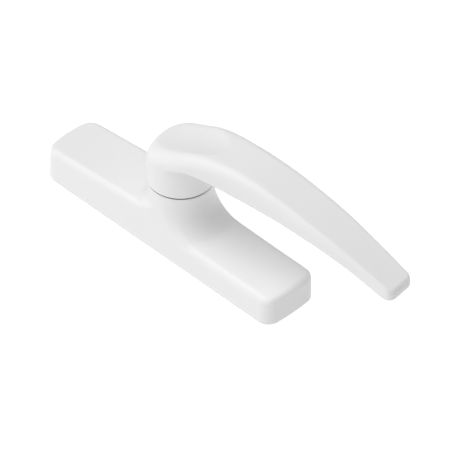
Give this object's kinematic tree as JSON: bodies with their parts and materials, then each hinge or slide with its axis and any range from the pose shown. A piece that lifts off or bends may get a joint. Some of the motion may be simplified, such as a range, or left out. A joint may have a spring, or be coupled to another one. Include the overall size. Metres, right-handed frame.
{
  "type": "cremone window handle",
  "caption": "White cremone window handle: slim gearbox casing with a round boss and a dished, arched lever that drives two opposed racks for the sash rods.",
  "frame": {"origin": "centre of the casing's mounting face, on the lever's turning axis, midway between the two fixing bushes", "axes": "+Z out of the mounting face along the lever's turning axis, +X along the casing towards the half under the lever, +Y across the casing"},
  "size_m": [0.1955, 0.0384, 0.0662],
  "materials": {
    "white_coat": "matt white powder coat on die-cast metal",
    "zinc_plated_steel": "bright zinc plate",
    "gear_steel": "sintered steel, oiled",
    "spring_steel": "ground spring steel",
    "die_cast_zinc": "as-cast zinc alloy",
    "brass": "turned brass",
    "white_nylon": "natural nylon",
    "dark_nylon": "black nylon"
  },
  "bodies": {
    "casing": {"casing": "white_coat", "base_plate": "zinc_plated_steel", "base_plate_screws": "zinc_plated_steel", "fixing_bushes": "brass", "hub_bush": "white_nylon", "seam_ring": "dark_nylon", "friction_ring": "spring_steel", "lower_bearing": "brass", "guide_blocks": "white_nylon"},
    "lever": {"lever": "white_coat", "pinion": "gear_steel", "retaining_screw": "zinc_plated_steel", "spring_washer": "spring_steel"},
    "rack_right": {"rack_right": "gear_steel", "drive_block_right": "die_cast_zinc", "drive_bush_right": "gear_steel", "block_dowels_right": "spring_steel"},
    "rack_left": {"rack_left": "gear_steel", "drive_block_left": "die_cast_zinc", "drive_bush_left": "gear_steel", "block_dowels_left": "spring_steel"}
  },
  "joints": [
    {"name": "lever_turn", "type": "hinge", "parent": "casing", "child": "lever", "pos_m": [0, 0, 0.02], "axis": [0, 0, 1], "range_deg": [-7, 173]},
    {"name": "rack_right_slide", "type": "slide", "parent": "casing", "child": "rack_right", "axis": [1, 0, 0], "range_m": [-0.01813, 0.00075]},
    {"name": "rack_left_slide", "type": "slide", "parent": "casing", "child": "rack_left", "axis": [1, 0, 0], "range_m": [-0.00075, 0.01813]}
  ],
  "couplings": [
    {"joint": "rack_right_slide", "follows": "lever_turn", "m_per_rad": -0.006},
    {"joint": "rack_left_slide", "follows": "lever_turn", "m_per_rad": 0.006}
  ]
}
